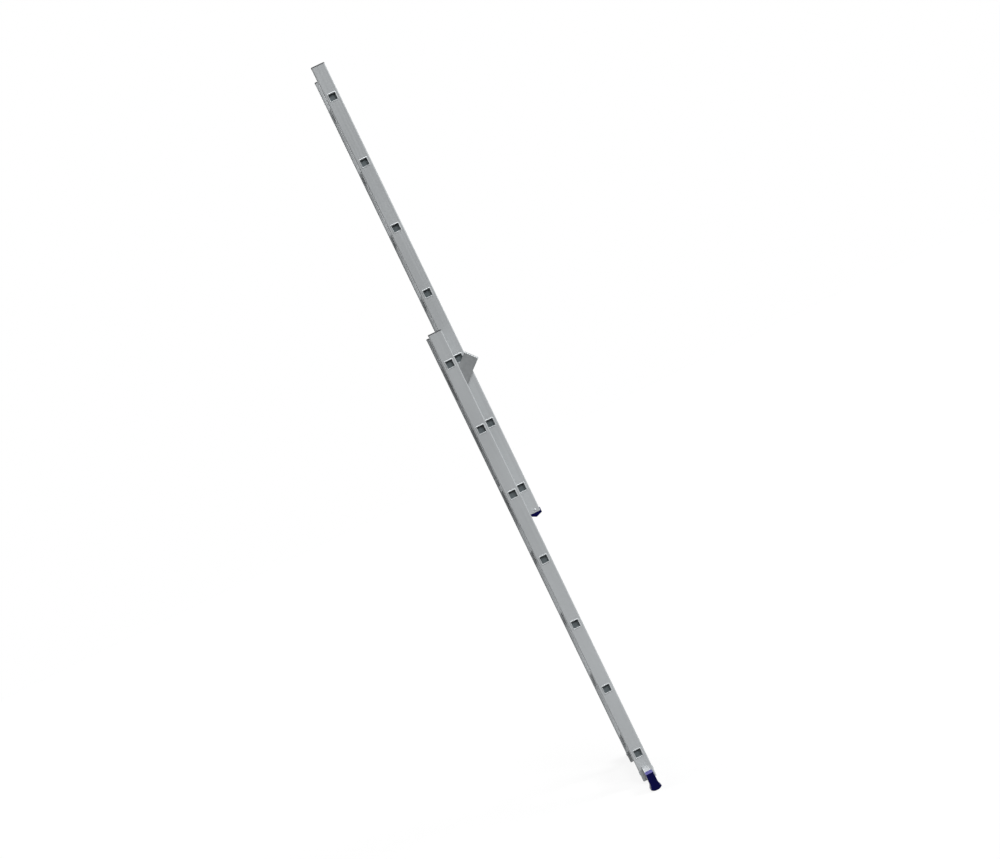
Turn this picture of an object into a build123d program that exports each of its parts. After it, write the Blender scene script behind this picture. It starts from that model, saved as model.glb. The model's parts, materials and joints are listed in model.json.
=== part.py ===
from build123d import *
import os
from math import cos, radians, sin

os.makedirs("parts", exist_ok=True)

# Frame, in millimetres: +Z up along the stiles, -Y the climbing side, +X the climber's right, floor at zero
sides = {"left": -1, "right": 1}

# Stiles: closed box extrusions, the same profile in both sections
stile_depth = 56.0
stile_width = 25.0
stile_wall = 1.8
stile_corner = 4.0
fly_width = 335.0  # over both fly stiles
ground_gap = 14.0  # under the base stiles

# Rungs: square tubes with a bead inside each stile and a flared rim outside
rung_count = 7
rung_pitch = 280.0
first_rung_height = 110.0  # above the lower end of its stiles
top_margin = 133.0  # last rung to the upper end of its stiles
rung_side = 30.0
rung_wall = 1.4
rung_corner = 1.6  # limited by the wall
rung_fit = 0.1  # per side in the stile's hole
rim_side = 37.0
rim_corner = 4.5
rim_thickness = 1.2
rim_flare = 0.95
bead_side = 35.0
bead_corner = 3.0
bead_thickness = 2.5
groove_count = 3
groove_spacing = 6.0
groove_width = 2.4
groove_depth = 0.8
rung_plug_recess = 5.0  # behind the outer face of the stile
rung_plug_thickness = 6.0
rung_plug_fit = 0.05

# How the fly lies in the base
section_gap = 14.0  # between the fly stiles and the base stiles
nest_clearance = 1.0  # fly stiles to the fronts of the base rungs
raised_rungs = 4
hook_lift = 6.0  # fly rungs above the base rungs beside them

# End plugs of the stiles
plug_cap = 4.0
plug_lip = 0.4
plug_skirt = 22.0
plug_wall = 2.0
plug_fit = 0.15

# Crossbar through the feet of the base stiles
crossbar_depth = 25.0
crossbar_height = 40.0
crossbar_wall = 2.0
crossbar_corner = 2.0
crossbar_top = 68.0  # above the floor
crossbar_overhang = 149.5  # past the outer face of each stile
crossbar_fit = 0.3
bolt_radius = 4.0
bolt_fit = 0.2
bolt_head_height = 2.2
nut_flats = 13.0  # also across the bolt heads
nut_height = 2.2
nut_fit = 0.1

# Moulded feet on the ends of the crossbar
foot_length = 50.0
foot_end_wall = 4.0
foot_wall = 2.0
foot_side_wall = 2.8
foot_fit = 0.15
foot_waist = 32.4
foot_waist_height = 30.0
foot_sole_width = 45.0
foot_sole_height = 8.5
foot_flat = 12.0
foot_sole_bulge = 0.4  # share of the sole's height halfway out
foot_edge = 1.5

# Guide brackets: joggled steel plates with a flange in front of the fly stiles
bracket_thickness = 3.0
bracket_angle = 41.0  # arm above the horizontal
arm_width = 58.0
arm_length = 110.0
bend_radius = 3.5
flange_reach = 20.0  # over the front of the fly stile
guide_clearance = 1.0  # flange to the front of the fly stile
side_clearance = 3.0  # plate to the outer web of the fly stile
arm_drop = 4.0  # middle of the flange below the top rung
leg_width = 36.0
leg_height = 92.0
leg_drop = 94.0  # middle of the leg below the top rung
leg_setback = 4.0  # middle of the leg behind the middle of the stile
joggle_run = 12.0
leg_corner = 4.0

# Blind rivets of the brackets, with a few flat sides because they are small
rivet_sides = 8
rivet_radius = 2.4
rivet_fit = 0.05
rivet_head_radius = 4.8
rivet_head_height = 1.6
rivet_tail_radius = 3.6
rivet_tail_height = 3.0
rivet_spacing = 60.0

# Foot plugs of the fly
fly_foot_skirt = 40.0
fly_foot_back = 2.5  # sole below the stile at its back edge
fly_foot_low = 18.0  # sole at its lowest line
fly_foot_front = 8.5  # sole at its front edge
fly_foot_low_setback = 32.0  # lowest line in front of the back edge
fly_foot_round = 6.0  # along the lowest line
fly_foot_tab = 12.0
fly_foot_tab_width = 15.0
fly_foot_tab_thickness = 3.0
fly_foot_edge = 1.0

# Rung locks: hooks that turn on pins in the inner webs of the fly stiles
lock_thickness = 8.0
lock_boss = 6.0
lock_boss_radius = 6.5
lock_gap = 0.3
lock_pivot_height = 18.0  # above the seat of the hook
lock_pivot_setback = 13.0  # in front of the base rung
lock_seat_clearance = 0.2
lock_throat_clearance = 0.4
lock_stop_clearance = 0.3
lock_nose_width = 9.0
lock_nose_depth = 13.0
lock_top_length = 18.0
lock_back_drop = 6.0
pin_radius = 4.0
pin_fit = 0.05
pin_head_radius = 8.0
pin_head_height = 3.0
pin_tail_radius = 6.5
pin_tail_height = 2.5

# Places that follow from the sizes
base_width = fly_width + 2 * (section_gap + stile_width)
stile_length = first_rung_height + (rung_count - 1) * rung_pitch + top_margin
fly_y = -(rung_side / 2 + nest_clearance + stile_depth / 2)
fly_front_y = fly_y - stile_depth / 2
base_bottom = ground_gap
fly_bottom = base_bottom + raised_rungs * rung_pitch + hook_lift
base_rung_z = [base_bottom + first_rung_height + step * rung_pitch for step in range(rung_count)]
fly_rung_z = [fly_bottom + first_rung_height + step * rung_pitch for step in range(rung_count)]
base_inner_x = base_width / 2 - stile_width
fly_outer_x = fly_width / 2
fly_inner_x = fly_width / 2 - stile_width
base_stile_x = (base_width - stile_width) / 2
fly_stile_x = (fly_width - stile_width) / 2
crossbar_z = crossbar_top - crossbar_height / 2
crossbar_end = base_width / 2 + crossbar_overhang

rivet_leg_y = leg_setback
rivet_leg_z = base_rung_z[-1] - leg_drop

lock_seat_z = base_rung_z[raised_rungs] + rung_side / 2 + lock_seat_clearance
lock_pivot_z = lock_seat_z + lock_pivot_height
lock_pivot_y = -rung_side / 2 - lock_pivot_setback
lock_plate_x = fly_inner_x - lock_gap - lock_boss
lock_head_x = lock_plate_x - lock_thickness - lock_gap


def make_stile(centre_x, centre_y, bottom):
    """A hollow extrusion with the rung holes through both of its webs."""
    middle_rung = bottom + first_rung_height + (rung_count - 1) * rung_pitch / 2
    with BuildPart() as stile:
        with BuildSketch(Plane.XY.offset(bottom)):
            with Locations((centre_x, centre_y)):
                RectangleRounded(stile_width, stile_depth, stile_corner)
                hollow = (stile_width - 2 * stile_wall, stile_depth - 2 * stile_wall)
                Rectangle(*hollow, mode=Mode.SUBTRACT)
        extrude(amount=stile_length)
        with BuildSketch(Plane.YZ.offset(centre_x)):
            with Locations((centre_y, middle_rung)):
                with GridLocations(rung_pitch, rung_pitch, 1, rung_count):
                    Rectangle(rung_side + 2 * rung_fit, rung_side + 2 * rung_fit)
        extrude(amount=stile_width, both=True, mode=Mode.SUBTRACT)
    return stile.part


def make_rung(width, centre_y):
    """A ribbed square tube with a bead inside each stile and a flared rim on its outer web."""
    end_x = width / 2
    bead_x = end_x - stile_width - bead_thickness
    bore = rung_side - 2 * rung_wall
    with BuildPart() as rung:
        with BuildSketch(Plane.YZ.offset(-end_x)) as tube:
            with Locations((centre_y, 0)):
                Rectangle(rung_side, rung_side)
            chamfer(tube.vertices(), length=min(rung_corner, rung_wall * 1.2))
        extrude(amount=width)
        with BuildSketch(Plane.YZ):
            with Locations((centre_y, rung_side / 2)):
                with GridLocations(groove_spacing, groove_spacing, groove_count, 1):
                    Rectangle(groove_width, 2 * groove_depth)
        extrude(amount=bead_x, both=True, mode=Mode.SUBTRACT)
        for bead_start, thickness in ((bead_x, bead_thickness), (-bead_x, -bead_thickness)):
            with BuildSketch(Plane.YZ.offset(bead_start)) as bead:
                with Locations((centre_y, 0)):
                    Rectangle(bead_side, bead_side)
                chamfer(bead.vertices(), length=bead_corner)
            extrude(amount=thickness)
        for rim_start, thickness in ((end_x, rim_thickness), (-end_x, -rim_thickness)):
            with BuildSketch(Plane.YZ.offset(rim_start)) as rim:
                with Locations((centre_y, 0)):
                    Rectangle(rim_side, rim_side)
                chamfer(rim.vertices(), length=rim_corner)
            extrude(amount=thickness)
        with BuildSketch(Plane.YZ):
            with Locations((centre_y, 0)):
                Rectangle(bore, bore)
        extrude(amount=end_x + rim_thickness, both=True, mode=Mode.SUBTRACT)
        ends = rung.faces().sort_by(Axis.X)
        mouths = ends[0].inner_wires()[0].edges() + ends[-1].inner_wires()[0].edges()
        chamfer(mouths, length=min(rim_flare, rim_thickness * 0.8))
    return rung.part


def make_rung_plugs(width, centre_y, middle_z):
    """Plugs that close both ends of every rung of a section, behind the rims."""
    plug_side = rung_side - 2 * rung_wall - 2 * rung_plug_fit
    with BuildPart() as rung_plugs:
        with BuildSketch(Plane.YZ.offset(width / 2 - rung_plug_recess)):
            with Locations((centre_y, middle_z)):
                with GridLocations(rung_pitch, rung_pitch, 1, rung_count):
                    Rectangle(plug_side, plug_side)
        extrude(amount=-rung_plug_thickness)
        mirror(about=Plane.YZ)
    return rung_plugs.part


def make_top_plug(centre_x, centre_y, seat_z):
    """A thin cap on the upper end of a stile, with a hollow skirt inside the profile."""
    skirt_width = stile_width - 2 * stile_wall - 2 * plug_fit
    skirt_depth = stile_depth - 2 * stile_wall - 2 * plug_fit
    with BuildPart() as plug:
        with BuildSketch(Plane.XY.offset(seat_z)):
            with Locations((centre_x, centre_y)):
                RectangleRounded(stile_width + 2 * plug_lip, stile_depth + 2 * plug_lip, stile_corner)
        extrude(amount=plug_cap)
        with BuildSketch(Plane.XY.offset(seat_z)):
            with Locations((centre_x, centre_y)):
                Rectangle(skirt_width, skirt_depth)
                hollow = (skirt_width - 2 * plug_wall, skirt_depth - 2 * plug_wall)
                Rectangle(*hollow, mode=Mode.SUBTRACT)
        extrude(amount=-plug_skirt)
    return plug.part


# Base stiles, with a window for the crossbar and holes for its bolts and for the bracket rivets
for side_name, side in sides.items():
    base_stile_blank = make_stile(side * base_stile_x, 0, base_bottom)
    with BuildPart() as base_stile:
        add(base_stile_blank)
        with BuildSketch(Plane.YZ.offset(side * base_stile_x)):
            with Locations((0, crossbar_z)):
                Rectangle(crossbar_depth + 2 * crossbar_fit, crossbar_height + 2 * crossbar_fit)
        extrude(amount=stile_width, both=True, mode=Mode.SUBTRACT)
        with BuildSketch(Plane.XZ):
            with Locations((side * base_stile_x, crossbar_z)):
                Circle(bolt_radius + bolt_fit)
        extrude(amount=stile_depth, both=True, mode=Mode.SUBTRACT)
        with BuildSketch(Plane.YZ.offset(side * base_inner_x)):
            with Locations((rivet_leg_y, rivet_leg_z)):
                with GridLocations(rivet_spacing, rivet_spacing, 1, 2):
                    RegularPolygon(rivet_radius + rivet_fit, rivet_sides)
        extrude(amount=stile_width / 2, both=True, mode=Mode.SUBTRACT)
    base_stile.part.label = f"base_stile_{side_name}"
    export_step(base_stile.part, f"parts/base_stile_{side_name}.step")

# Fly stiles, drilled for the lock pins in their inner webs
for side_name, side in sides.items():
    fly_stile_blank = make_stile(side * fly_stile_x, fly_y, fly_bottom)
    with BuildPart() as fly_stile:
        add(fly_stile_blank)
        with BuildSketch(Plane.YZ.offset(side * fly_inner_x)):
            with Locations((lock_pivot_y, lock_pivot_z)):
                Circle(pin_radius + pin_fit)
        extrude(amount=stile_width / 2, both=True, mode=Mode.SUBTRACT)
    fly_stile.part.label = f"fly_stile_{side_name}"
    export_step(fly_stile.part, f"parts/fly_stile_{side_name}.step")

# Rungs of both sections, numbered from the bottom
base_rung_blank = make_rung(base_width, 0)
fly_rung_blank = make_rung(fly_width, fly_y)
for number in range(1, rung_count + 1):
    with BuildPart() as base_rung:
        with Locations((0, 0, base_rung_z[number - 1])):
            add(base_rung_blank)
    base_rung.part.label = f"base_rung_{number}"
    export_step(base_rung.part, f"parts/base_rung_{number}.step")
    with BuildPart() as fly_rung:
        with Locations((0, 0, fly_rung_z[number - 1])):
            add(fly_rung_blank)
    fly_rung.part.label = f"fly_rung_{number}"
    export_step(fly_rung.part, f"parts/fly_rung_{number}.step")

# Plugs in the ends of the rungs
middle_rung = rung_count // 2
base_rung_plugs = make_rung_plugs(base_width, 0, base_rung_z[middle_rung])
base_rung_plugs.label = "base_rung_plugs"
export_step(base_rung_plugs, "parts/base_rung_plugs.step")
fly_rung_plugs = make_rung_plugs(fly_width, fly_y, fly_rung_z[middle_rung])
fly_rung_plugs.label = "fly_rung_plugs"
export_step(fly_rung_plugs, "parts/fly_rung_plugs.step")

# Plugs in the upper ends of all four stiles
for side_name, side in sides.items():
    base_top_plug = make_top_plug(side * base_stile_x, 0, base_bottom + stile_length)
    base_top_plug.label = f"base_top_plug_{side_name}"
    export_step(base_top_plug, f"parts/base_top_plug_{side_name}.step")
    fly_top_plug = make_top_plug(side * fly_stile_x, fly_y, fly_bottom + stile_length)
    fly_top_plug.label = f"fly_top_plug_{side_name}"
    export_step(fly_top_plug, f"parts/fly_top_plug_{side_name}.step")

# Crossbar, a rectangular tube
with BuildPart() as crossbar:
    with BuildSketch(Plane.YZ.offset(-crossbar_end)) as bar_section:
        with Locations((0, crossbar_z)):
            Rectangle(crossbar_depth, crossbar_height)
        chamfer(bar_section.vertices(), length=crossbar_corner)
        with Locations((0, crossbar_z)):
            hollow_size = (crossbar_depth - 2 * crossbar_wall, crossbar_height - 2 * crossbar_wall)
            Rectangle(*hollow_size, mode=Mode.SUBTRACT)
    extrude(amount=2 * crossbar_end)
    with BuildSketch(Plane.XZ):
        with Locations((0, crossbar_z)):
            with GridLocations(2 * base_stile_x, crossbar_height, 2, 1):
                Circle(bolt_radius + bolt_fit)
    extrude(amount=crossbar_depth, both=True, mode=Mode.SUBTRACT)
crossbar.part.label = "crossbar"
export_step(crossbar.part, "parts/crossbar.step")

# Bolts and nuts that hold the crossbar in the stiles
web_y = stile_depth / 2
with BuildPart() as crossbar_bolts:
    with BuildSketch(Plane.XZ.offset(web_y)):
        with Locations((0, crossbar_z)):
            with GridLocations(2 * base_stile_x, crossbar_height, 2, 1):
                RegularPolygon(nut_flats / 2, 6, major_radius=False)
    extrude(amount=bolt_head_height)
    with BuildSketch(Plane.XZ.offset(web_y)):
        with Locations((0, crossbar_z)):
            with GridLocations(2 * base_stile_x, crossbar_height, 2, 1):
                Circle(bolt_radius)
    extrude(amount=-(stile_depth + nut_height))
crossbar_bolts.part.label = "crossbar_bolts"
export_step(crossbar_bolts.part, "parts/crossbar_bolts.step")

with BuildPart() as crossbar_nuts:
    with BuildSketch(Plane.XZ.offset(-web_y)):
        with Locations((0, crossbar_z)):
            with GridLocations(2 * base_stile_x, crossbar_height, 2, 1):
                RegularPolygon(nut_flats / 2, 6, major_radius=False)
                Circle(bolt_radius + nut_fit, mode=Mode.SUBTRACT)
    extrude(amount=-nut_height)
crossbar_nuts.part.label = "crossbar_nuts"
export_step(crossbar_nuts.part, "parts/crossbar_nuts.step")

# Feet: a socket over the end of the crossbar, drawn in at the waist and flared to a convex sole
foot_top = crossbar_top + foot_fit + foot_wall
foot_half_top = crossbar_depth / 2 + foot_fit + foot_side_wall
foot_inner_x = crossbar_end + foot_fit + foot_end_wall - foot_length
with BuildPart() as crossbar_foot_right:
    with BuildSketch(Plane.YZ.offset(foot_inner_x)):
        with BuildLine():
            Line((0, foot_top), (foot_half_top, foot_top))
            Line((foot_half_top, foot_top), (foot_waist / 2, foot_waist_height))
            corner = (foot_sole_width / 2, foot_sole_height)
            TangentArc((foot_waist / 2, foot_waist_height), corner, tangent=(0, -1))
            bulge = ((foot_sole_width + foot_flat) / 4 + foot_edge, foot_sole_bulge * foot_sole_height)
            ThreePointArc(corner, bulge, (foot_flat / 2, 0))
            Line((foot_flat / 2, 0), (0, 0))
            mirror(about=Plane.YZ)
        make_face()
    extrude(amount=foot_length)
    top_edges = crossbar_foot_right.faces().sort_by(Axis.Z)[-1].edges()
    fillet(top_edges.filter_by(Axis.X), radius=foot_edge)
    with BuildSketch(Plane.YZ.offset(foot_inner_x)):
        with Locations((0, crossbar_z)):
            Rectangle(crossbar_depth + 2 * foot_fit, crossbar_height + 2 * foot_fit)
    extrude(amount=foot_length - foot_end_wall, mode=Mode.SUBTRACT)
crossbar_foot_right.part.label = "crossbar_foot_right"
export_step(crossbar_foot_right.part, "parts/crossbar_foot_right.step")

with BuildPart() as crossbar_foot_left:
    mirror(crossbar_foot_right.part, about=Plane.YZ)
crossbar_foot_left.part.label = "crossbar_foot_left"
export_step(crossbar_foot_left.part, "parts/crossbar_foot_left.step")

# Guide bracket: the arm climbs forward past the fly stile, and its end is bent across the stile's front
arm = Vector(0, -cos(radians(bracket_angle)), sin(radians(bracket_angle)))
across = Vector(0, sin(radians(bracket_angle)), cos(radians(bracket_angle)))
plate_x = fly_outer_x + side_clearance
leg_x = base_inner_x - bracket_thickness
leg_y = leg_setback - leg_width / 2
flange_y = fly_front_y - guide_clearance - arm_width / 2 * across.Y
flange_middle = Vector(0, flange_y, base_rung_z[-1] - arm_drop)
arm_end = flange_middle - arm * bend_radius
arm_middle = arm_end - arm * (arm_length / 2)
bend_outside = bend_radius + bracket_thickness
flange_tip_x = fly_outer_x - flange_reach
sheet_front = arm_end.Y - arm_width
with BuildPart() as guide_bracket_right:
    with BuildSketch(Plane.XY.offset(rivet_leg_z - leg_height)):
        with BuildLine():
            Polyline(
                (base_inner_x, leg_y + leg_width),
                (base_inner_x, leg_y),
                (plate_x + bracket_thickness, leg_y - joggle_run),
                (plate_x + bracket_thickness, sheet_front),
                (plate_x, sheet_front),
                (plate_x, leg_y - joggle_run),
                (leg_x, leg_y),
                (leg_x, leg_y + leg_width),
                close=True,
            )
        make_face()
    extrude(amount=2 * leg_height + arm_width)
    with BuildSketch(Plane.YZ) as side_outline:
        with Locations((leg_setback, rivet_leg_z)):
            Rectangle(leg_width, leg_height)
        chamfer(side_outline.vertices(), length=leg_corner)
        with Locations((arm_middle.Y, arm_middle.Z)):
            Rectangle(arm_length, arm_width, rotation=-bracket_angle)
    extrude(amount=base_width, mode=Mode.INTERSECT)
    with BuildSketch(Plane(origin=arm_end, x_dir=arm, z_dir=across)):
        with BuildLine():
            outside_x = plate_x + bracket_thickness
            Line((-bend_radius, outside_x), (0, outside_x))
            RadiusArc((0, outside_x), (bend_outside, outside_x - bend_outside), bend_outside)
            Line((bend_outside, outside_x - bend_outside), (bend_outside, flange_tip_x))
            Line((bend_outside, flange_tip_x), (bend_radius, flange_tip_x))
            Line((bend_radius, flange_tip_x), (bend_radius, plate_x - bend_radius))
            RadiusArc((bend_radius, plate_x - bend_radius), (0, plate_x), -bend_radius)
            Line((0, plate_x), (-bend_radius, plate_x))
            Line((-bend_radius, plate_x), (-bend_radius, outside_x))
        make_face()
    extrude(amount=arm_width / 2, both=True)
    with BuildSketch(Plane.YZ.offset(base_inner_x)):
        with Locations((rivet_leg_y, rivet_leg_z)):
            with GridLocations(rivet_spacing, rivet_spacing, 1, 2):
                RegularPolygon(rivet_radius + rivet_fit, rivet_sides)
    extrude(amount=-2 * bracket_thickness, mode=Mode.SUBTRACT)
guide_bracket_right.part.label = "guide_bracket_right"
export_step(guide_bracket_right.part, "parts/guide_bracket_right.step")

with BuildPart() as guide_bracket_left:
    mirror(guide_bracket_right.part, about=Plane.YZ)
guide_bracket_left.part.label = "guide_bracket_left"
export_step(guide_bracket_left.part, "parts/guide_bracket_left.step")

# Rivets of the brackets: heads on the legs, tails inside the base stiles
rivet_tail_x = base_inner_x + stile_wall
with BuildPart() as guide_bracket_rivets:
    with BuildSketch(Plane.YZ.offset(leg_x)):
        with Locations((rivet_leg_y, rivet_leg_z)):
            with GridLocations(rivet_spacing, rivet_spacing, 1, 2):
                RegularPolygon(rivet_head_radius, rivet_sides)
    extrude(amount=-rivet_head_height)
    with BuildSketch(Plane.YZ.offset(leg_x)):
        with Locations((rivet_leg_y, rivet_leg_z)):
            with GridLocations(rivet_spacing, rivet_spacing, 1, 2):
                RegularPolygon(rivet_radius, rivet_sides)
    extrude(amount=rivet_tail_x - leg_x)
    with BuildSketch(Plane.YZ.offset(rivet_tail_x)):
        with Locations((rivet_leg_y, rivet_leg_z)):
            with GridLocations(rivet_spacing, rivet_spacing, 1, 2):
                RegularPolygon(rivet_tail_radius, rivet_sides)
    extrude(amount=rivet_tail_height)
    mirror(about=Plane.YZ)
guide_bracket_rivets.part.label = "guide_bracket_rivets"
export_step(guide_bracket_rivets.part, "parts/guide_bracket_rivets.step")

# Fly foot: a plug with a slanted sole below the stile and a tab up its front
skirt_x = stile_width - 2 * stile_wall - 2 * plug_fit
skirt_y = stile_depth - 2 * stile_wall - 2 * plug_fit
fly_back_y = fly_y + stile_depth / 2
tab_y = fly_front_y - fly_foot_tab_thickness
with BuildPart() as fly_foot_right:
    with BuildSketch(Plane.YZ.offset(fly_stile_x)):
        with BuildLine():
            Polyline(
                (fly_back_y, fly_bottom),
                (fly_back_y, fly_bottom - fly_foot_back),
                (fly_back_y - fly_foot_low_setback, fly_bottom - fly_foot_low),
                (tab_y, fly_bottom - fly_foot_front),
                (tab_y, fly_bottom),
                close=True,
            )
        make_face()
    extrude(amount=stile_width / 2, both=True)
    low_edge = fly_foot_right.edges().filter_by(Axis.X).sort_by(Axis.Z)[0]
    fillet(low_edge, radius=fly_foot_round)
    fillet(fly_foot_right.edges().filter_by(Axis.X).group_by(Axis.Z)[-2], radius=fly_foot_edge)
    with BuildSketch(Plane.XZ.offset(-fly_front_y)):
        with Locations((fly_stile_x, fly_bottom)):
            Rectangle(fly_foot_tab_width, fly_foot_tab, align=(Align.CENTER, Align.MIN))
    extrude(amount=fly_foot_tab_thickness)
    with BuildSketch(Plane.XY.offset(fly_bottom)):
        with Locations((fly_stile_x, fly_y)):
            Rectangle(skirt_x, skirt_y)
            Rectangle(skirt_x - 2 * plug_wall, skirt_y - 2 * plug_wall, mode=Mode.SUBTRACT)
    extrude(amount=fly_foot_skirt)
fly_foot_right.part.label = "fly_foot_right"
export_step(fly_foot_right.part, "parts/fly_foot_right.step")

with BuildPart() as fly_foot_left:
    mirror(fly_foot_right.part, about=Plane.YZ)
fly_foot_left.part.label = "fly_foot_left"
export_step(fly_foot_left.part, "parts/fly_foot_left.step")

# Rung lock: a hook over the base rung, whose flat top lies on the fly rung when it is swung over
lock_stop = lock_pivot_z - (fly_rung_z[0] + rung_side / 2) - lock_stop_clearance
throat_back = lock_pivot_setback + rung_side + lock_throat_clearance
nose_back = throat_back + lock_nose_width
nose_bottom = -lock_pivot_height - lock_nose_depth
with BuildPart() as rung_lock_right:
    with BuildSketch(Plane.YZ.offset(lock_plate_x)):
        with Locations((lock_pivot_y, lock_pivot_z)):
            Circle(lock_stop)
            Polygon(
                (0, lock_stop),
                (lock_top_length, lock_stop),
                (nose_back, -lock_back_drop),
                (nose_back, nose_bottom),
                (throat_back, nose_bottom),
                (throat_back, -lock_pivot_height),
                (lock_pivot_setback, -lock_pivot_height),
                (0, -lock_stop),
                align=None,
            )
    extrude(amount=-lock_thickness)
    nose_edges = rung_lock_right.edges().filter_by(Axis.X).group_by(Axis.Z)[0]
    fillet(nose_edges, radius=lock_nose_width * 0.4)
    with BuildSketch(Plane.YZ.offset(lock_plate_x)):
        with Locations((lock_pivot_y, lock_pivot_z)):
            Circle(lock_boss_radius)
    extrude(amount=lock_boss)
    with BuildSketch(Plane.YZ.offset(lock_plate_x)):
        with Locations((lock_pivot_y, lock_pivot_z)):
            Circle(pin_radius + pin_fit)
    extrude(amount=lock_thickness + lock_boss, both=True, mode=Mode.SUBTRACT)
rung_lock_right.part.label = "rung_lock_right"
export_step(rung_lock_right.part, "parts/rung_lock_right.step")

with BuildPart() as rung_lock_left:
    mirror(rung_lock_right.part, about=Plane.YZ)
rung_lock_left.part.label = "rung_lock_left"
export_step(rung_lock_left.part, "parts/rung_lock_left.step")

# Pins of the locks: headed inside the ladder, riveted over inside the fly stiles
pin_tail_x = fly_inner_x + stile_wall
with BuildPart() as rung_lock_pins:
    with BuildSketch(Plane.YZ.offset(lock_head_x)):
        with Locations((lock_pivot_y, lock_pivot_z)):
            Circle(pin_head_radius)
    extrude(amount=-pin_head_height)
    with BuildSketch(Plane.YZ.offset(lock_head_x)):
        with Locations((lock_pivot_y, lock_pivot_z)):
            Circle(pin_radius)
    extrude(amount=pin_tail_x - lock_head_x)
    with BuildSketch(Plane.YZ.offset(pin_tail_x)):
        with Locations((lock_pivot_y, lock_pivot_z)):
            RegularPolygon(pin_tail_radius, rivet_sides)
    extrude(amount=pin_tail_height)
    mirror(about=Plane.YZ)
rung_lock_pins.part.label = "rung_lock_pins"
export_step(rung_lock_pins.part, "parts/rung_lock_pins.step")
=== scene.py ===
import json
from math import asin, cos, degrees, pi, radians, sin, tan, tau

import bmesh
import bpy
from mathutils import Matrix, Vector


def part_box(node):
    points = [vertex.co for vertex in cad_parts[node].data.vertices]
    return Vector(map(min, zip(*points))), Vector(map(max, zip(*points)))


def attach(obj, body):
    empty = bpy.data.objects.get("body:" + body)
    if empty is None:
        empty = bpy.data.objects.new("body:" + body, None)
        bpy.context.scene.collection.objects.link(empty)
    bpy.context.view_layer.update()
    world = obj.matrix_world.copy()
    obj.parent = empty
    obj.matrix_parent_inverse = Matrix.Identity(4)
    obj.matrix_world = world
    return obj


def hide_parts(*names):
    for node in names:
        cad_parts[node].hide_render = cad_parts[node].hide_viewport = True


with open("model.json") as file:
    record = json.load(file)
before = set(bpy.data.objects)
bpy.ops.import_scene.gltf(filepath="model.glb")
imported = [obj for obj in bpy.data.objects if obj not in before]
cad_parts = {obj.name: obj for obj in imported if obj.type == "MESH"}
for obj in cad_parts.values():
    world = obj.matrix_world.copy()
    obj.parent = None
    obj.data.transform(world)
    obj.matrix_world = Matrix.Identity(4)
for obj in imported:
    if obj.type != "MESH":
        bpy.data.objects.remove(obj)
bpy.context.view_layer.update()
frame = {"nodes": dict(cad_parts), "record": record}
nodes = frame["nodes"]
scene = bpy.context.scene

# Lengths in the mesh code are millimetres, as in the CAD source
MM = 0.001
SIDES = {"left": -1, "right": 1}
SECTIONS = ("base", "fly")
CORNER_STEPS = 5
ARC_STEPS = 8
ROUND_STEPS = 48
HEX = 6
SMOOTH_ANGLE = 35.0
TURNED_SMOOTH_ANGLE = 40.0
SHARPEST_TURN = 0.35

# Rungs
RUNG_COUNT = 7
RUNG_HALF = 15.0
RUNG_ROUND = 2.4
BORE_HALF = 13.6
BORE_ROUND = 1.0
RIM_HEIGHT = 1.2
BEAD_LENGTH = 2.5
BEAD_RISE = 2.5
BEAD_ROUND = 2.0
BEAD_STEPS = 8
GROOVE_SPACING = 6.0
GROOVE_WIDTH = 2.4
GROOVE_DEPTH = 0.8
GROOVE_FADE = 5.0
GROOVE_END = 0.5

# Rolled rim of a rung: height over the stile's web, half of the side, corner radius
ROLLED_RIM = (
    (0.0, 18.5, 4.5),
    (0.25, 18.5, 4.5),
    (0.55, 18.1, 4.2),
    (0.95, 17.1, 3.4),
    (RIM_HEIGHT, 16.2, 2.8),
    (RIM_HEIGHT, 15.5, 2.4),
    (0.95, 14.95, 2.0),
    (0.3, 14.5, 1.8),
    (-1.0, 14.1, 1.4),
    (-2.6, BORE_HALF, BORE_ROUND),
)

# Dished plug in the end of a rung: setback from its face, inset from its side, corner radius
RUNG_PLUG = (
    (6.0, 0.0, 0.6),
    (0.5, 0.0, 0.6),
    (0.0, 0.5, 0.8),
    (0.0, 1.5, 1.0),
    (1.2, 2.4, 1.4),
)

# Plugs in the tops of the stiles
CAP_ROUND = 1.6
CAP_CORNER = 4.0
CAP_LIP = 2.35
SKIRT_WALL = 2.0
SKIRT_CORNER = 0.5
SKIRT_BORE_CORNER = 0.4

# Treads under all feet, each groove drawn by places across it in widths and shares of its depth
TREAD_WIDTH = 2.4
TREAD_DEPTH = 1.0
TREAD_MARGIN = 3.0
TREAD_END = 2.5
TREAD_GROOVE = ((-0.5, 0), (-0.3, 1), (0.3, 1), (0.5, 0))
TREAD_CLEAR = 0.55

# Crossbar feet
FOOT_TOP_HALF = 15.45
FOOT_WAIST_HALF = 16.2
FOOT_WAIST_HEIGHT = 30.0
FOOT_SOLE_HEIGHT = 8.5
FOOT_SOLE_BULGE = (15.75, 3.4)
FOOT_FLAT_HALF = 6.0
FOOT_TOP_ROUND = 1.5
FOOT_END_ROUND = 1.2
FOOT_RIM_ROUND = 0.6
FOOT_TREADS = 7
SOCKET_FIT = 0.15

# Feet of the fly
FLY_FOOT_BACK = 2.5
FLY_FOOT_LOW = 18.0
FLY_FOOT_LOW_SETBACK = 32.0
FLY_FOOT_FRONT = 8.5
FLY_FOOT_ROUND = 6.0
FLY_FOOT_END_ROUND = 1.0
FLY_FOOT_TREADS = 5
TAB_HEIGHT = 12.0
TAB_FOOTING = 2.0
TAB_HALF = 7.5
TAB_EDGE = 0.6
TAB_CORNER = 2.0

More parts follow.
